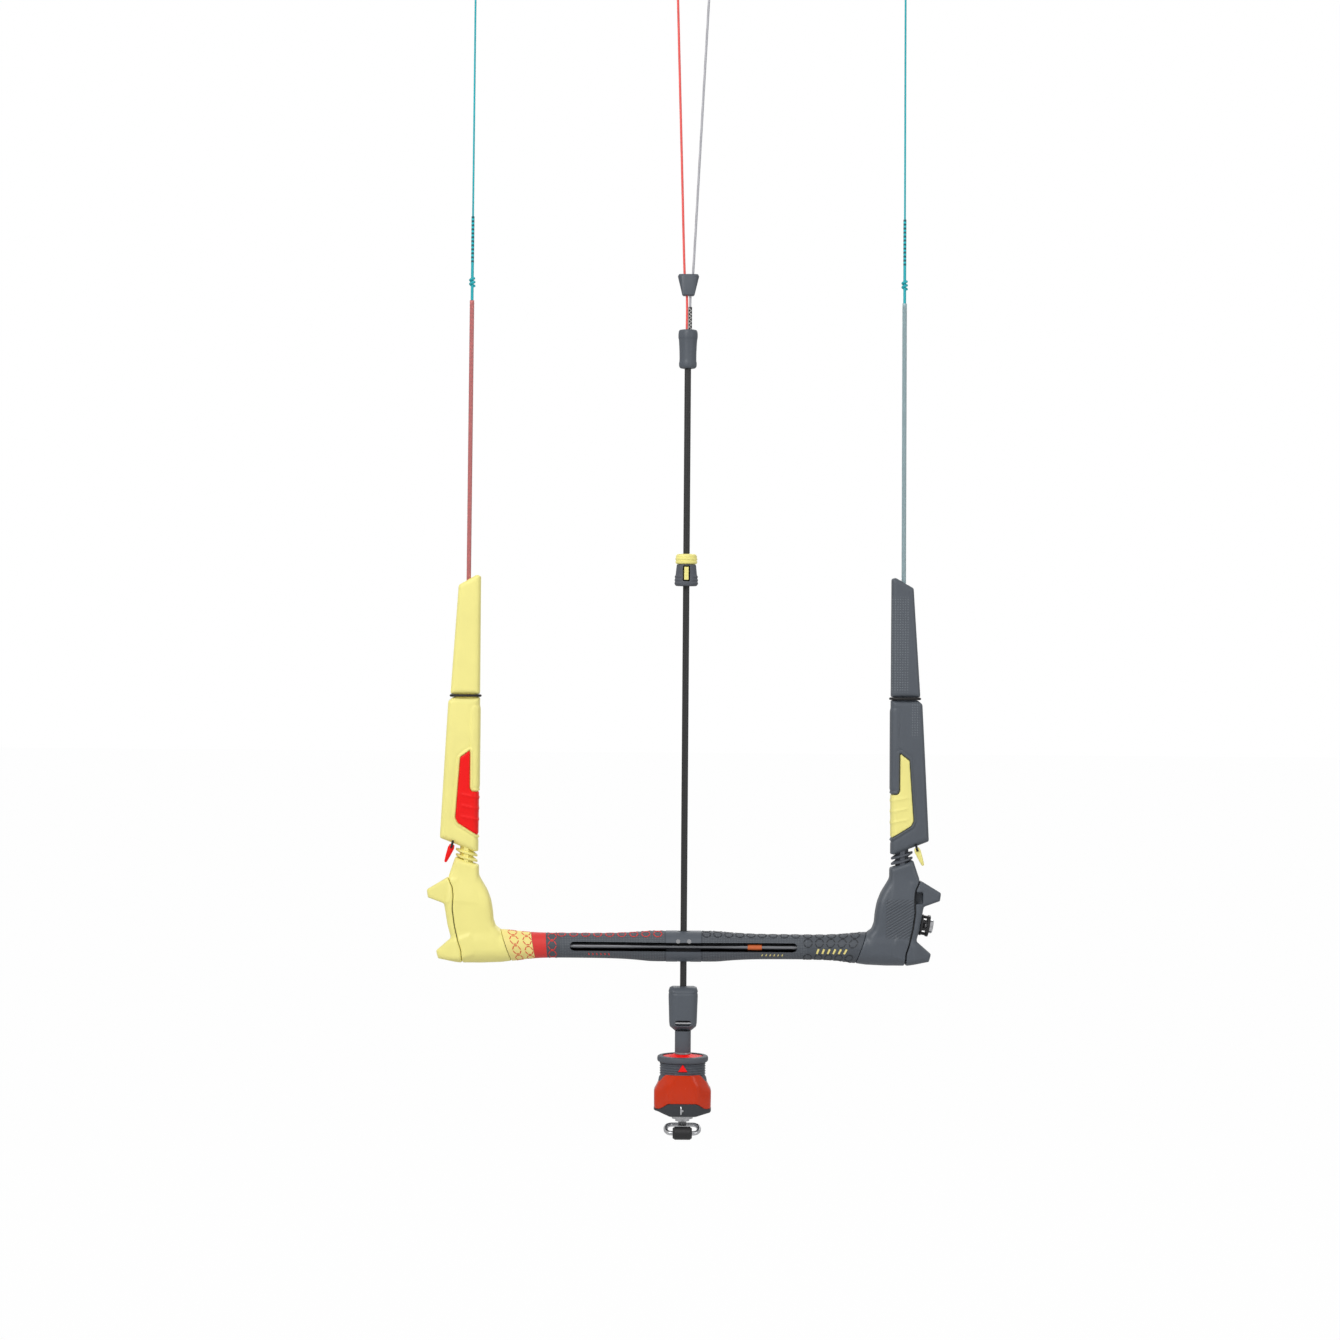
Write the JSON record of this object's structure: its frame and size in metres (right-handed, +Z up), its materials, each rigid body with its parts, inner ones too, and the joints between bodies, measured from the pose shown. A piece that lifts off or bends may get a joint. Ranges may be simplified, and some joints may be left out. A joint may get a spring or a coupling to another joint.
{
  "type": "kitesurf control bar",
  "caption": "Kitesurf control bar with hinged floats on its winder ends, a trim knob, steering and front lines, and a depower line with stopper, swivel and quick release.",
  "frame": {"origin": "on the main line axis, at the harness eye below the quick release", "axes": "+Z up the lines to the kite, +X along the bar to the trim knob, -Y to the front, where the indicator slot is"},
  "size_m": [0.514, 0.0682, 1.1655],
  "materials": {
    "steel": "brushed",
    "aluminium_beam": "satin",
    "black_plastic": "fine moulded grain",
    "black_rubber": "matte",
    "black_rope": "coated braid",
    "slate_plastic": "moulded, soft sheen",
    "slate_rubber": "matte",
    "left_grip_foam": "moulded grip with red broken rings and a yellow end",
    "right_grip_foam": "moulded grip with dark broken rings",
    "orange_red_shell": "glossy",
    "red_plastic": "soft sheen",
    "yellow_plastic": "moulded, soft sheen",
    "yellow_rubber": "matte",
    "yellow_float": "foam float skin",
    "slate_float": "foam float skin",
    "orange_marker": "satin",
    "red_line": "braided",
    "grey_line": "braided",
    "left_leader_sheath": "translucent tube",
    "right_leader_sheath": "translucent tube",
    "cyan_line": "braided"
  },
  "bodies": {
    "harness_stud": {"swivel_stud": "steel"},
    "bow": {"harness_bow": "steel", "roller_pin": "steel"},
    "roller": {"harness_roller": "black_plastic"},
    "release_body": {"release_base": "black_plastic", "release_core": "steel", "release_cap": "red_plastic", "release_pins": "steel", "collar_spring": "steel"},
    "left_jaw": {"latch_left": "steel"},
    "right_jaw": {"latch_right": "steel"},
    "release_collar": {"collar_shell": "orange_red_shell", "collar_grip": "slate_rubber"},
    "trunk": {"swivel_neck": "slate_plastic", "swivel_ring": "steel", "swivel_housing": "slate_plastic", "housing_pin": "steel", "main_line": "black_rope", "top_sleeve": "slate_plastic", "line_splitter": "slate_plastic", "red_front_line": "red_line", "grey_front_line": "grey_line"},
    "stopper": {"stopper_body": "slate_plastic", "stopper_cap": "yellow_plastic", "stopper_clamp": "black_rubber"},
    "stopper_key": {"stopper_button": "yellow_plastic"},
    "guide": {"line_guide": "black_plastic"},
    "bar": {"bar_beam": "aluminium_beam", "left_grip": "left_grip_foam", "right_grip": "right_grip_foam", "centre_front": "slate_plastic", "centre_rear": "slate_plastic", "centre_screws": "steel", "left_bar_end": "yellow_plastic", "right_bar_end": "slate_plastic", "left_winder": "yellow_plastic", "right_winder": "slate_plastic", "left_neck": "yellow_rubber", "right_neck": "slate_rubber", "indicator_rod": "steel"},
    "sheave": {"left_sheave": "steel"},
    "knob": {"trim_knob": "black_plastic", "trim_spool": "steel"},
    "knob_button": {"trim_button": "steel"},
    "marker": {"trim_marker": "orange_marker"},
    "left_float": {"left_float_body": "yellow_float", "left_float_sleeve": "yellow_float", "left_float_accent": "red_plastic", "left_float_ring": "black_rubber"},
    "left_line": {"left_leader_tube": "left_leader_sheath", "left_flying_line": "cyan_line"},
    "left_pull": {"left_tab": "red_plastic"},
    "right_float": {"right_float_body": "slate_float", "right_float_sleeve": "slate_float", "right_float_accent": "yellow_plastic", "right_float_ring": "black_rubber"},
    "right_line": {"right_leader_tube": "right_leader_sheath", "right_flying_line": "cyan_line"},
    "right_pull": {"right_tab": "yellow_plastic"}
  },
  "joints": [
    {"name": "bow_swing", "type": "hinge", "parent": "harness_stud", "child": "bow", "pos_m": [0, 0, 0.0035], "axis": [1, 0, 0], "range_deg": [-6, 162]},
    {"name": "roller_spin", "type": "hinge", "parent": "bow", "child": "roller", "pos_m": [0, -0.02348, -0.00149], "axis": [1, 0, 0], "continuous": true},
    {"name": "base_swivel", "type": "hinge", "parent": "harness_stud", "child": "release_body", "pos_m": [0, 0, 0.02], "axis": [0, 0, 1], "continuous": true},
    {"name": "collar_slide", "type": "slide", "parent": "release_body", "child": "release_collar", "axis": [0, 0, 1], "range_m": [0, 0.011], "stiffness_N_per_m": 500, "springref_m": -0.01, "deforming": ["collar_spring"]},
    {"name": "left_jaw_swing", "type": "hinge", "parent": "release_body", "child": "left_jaw", "pos_m": [-0.0102, 0, 0.043], "axis": [0, 1, 0], "range_deg": [0, 20.1]},
    {"name": "right_jaw_swing", "type": "hinge", "parent": "release_body", "child": "right_jaw", "pos_m": [0.0102, 0, 0.043], "axis": [0, -1, 0], "range_deg": [0, 20.1]},
    {"name": "line_swivel", "type": "hinge", "parent": "release_body", "child": "trunk", "pos_m": [0, 0, 0.066], "axis": [0, 0, 1], "continuous": true},
    {"name": "stopper_slide", "type": "slide", "parent": "trunk", "child": "stopper", "axis": [0, 0, 1], "range_m": [0, 0.18]},
    {"name": "stopper_press", "type": "slide", "parent": "stopper", "child": "stopper_key", "axis": [0, 1, 0], "range_m": [0, 0.0018], "stiffness_N_per_m": 800, "springref_m": -0.001},
    {"name": "bar_slide", "type": "slide", "parent": "trunk", "child": "guide", "axis": [0, 0, 1], "range_m": [-0.018, 0.34]},
    {"name": "bar_tilt", "type": "hinge", "parent": "guide", "child": "bar", "pos_m": [0, 0, 0.182], "axis": [0, 1, 0], "range_deg": [-10, 10]},
    {"name": "left_float_flex", "type": "hinge", "parent": "bar", "child": "left_float", "pos_m": [-0.2175, 0, 0.272], "axis": [0, -1, 0], "range_deg": [-8, 35], "stiffness_Nm_per_rad": 1.5, "deforming": ["left_neck"]},
    {"name": "right_float_flex", "type": "hinge", "parent": "bar", "child": "right_float", "pos_m": [0.2175, 0, 0.272], "axis": [0, -1, 0], "range_deg": [-35, 8], "stiffness_Nm_per_rad": 1.5, "deforming": ["right_neck"]},
    {"name": "left_line_slide", "type": "slide", "parent": "left_float", "child": "left_line", "axis": [0.0043, 0, 1], "range_m": [-0.03, 0.165]},
    {"name": "right_line_slide", "type": "slide", "parent": "right_float", "child": "right_line", "axis": [-0.0043, 0, 1], "range_m": [-0.03, 0.165]},
    {"name": "knob_turn", "type": "hinge", "parent": "bar", "child": "knob", "pos_m": [0.2358, 0, 0.2055], "axis": [0.9857, 0, -0.1685], "range_deg": [-1180, 214]},
    {"name": "knob_press", "type": "slide", "parent": "knob", "child": "knob_button", "axis": [-0.9857, 0, 0.1685], "range_m": [0, 0.002], "stiffness_N_per_m": 800, "springref_m": -0.001},
    {"name": "marker_slide", "type": "slide", "parent": "bar", "child": "marker", "axis": [1, 0, 0], "range_m": [-0.165, 0.03]},
    {"name": "sheave_spin", "type": "hinge", "parent": "bar", "child": "sheave", "pos_m": [-0.21, 0, 0.186], "axis": [0, 1, 0], "range_deg": [-312, 1720]},
    {"name": "left_tab_swing", "type": "hinge", "parent": "left_float", "child": "left_pull", "pos_m": [-0.231, -0.007, 0.2859], "axis": [0, 1, 0], "range_deg": [-15, 25]},
    {"name": "right_tab_swing", "type": "hinge", "parent": "right_float", "child": "right_pull", "pos_m": [0.231, -0.007, 0.2859], "axis": [0, -1, 0], "range_deg": [-15, 25]}
  ],
  "couplings": [
    {"joint": "left_jaw_swing", "follows": "collar_slide", "rad_per_m": 31.7},
    {"joint": "right_jaw_swing", "follows": "collar_slide", "rad_per_m": 31.7},
    {"joint": "left_line_slide", "follows": "knob_turn", "m_per_rad": -0.008},
    {"joint": "right_line_slide", "follows": "knob_turn", "m_per_rad": -0.008},
    {"joint": "marker_slide", "follows": "knob_turn", "m_per_rad": 0.008},
    {"joint": "sheave_spin", "follows": "knob_turn", "ratio": -1.45}
  ]
}
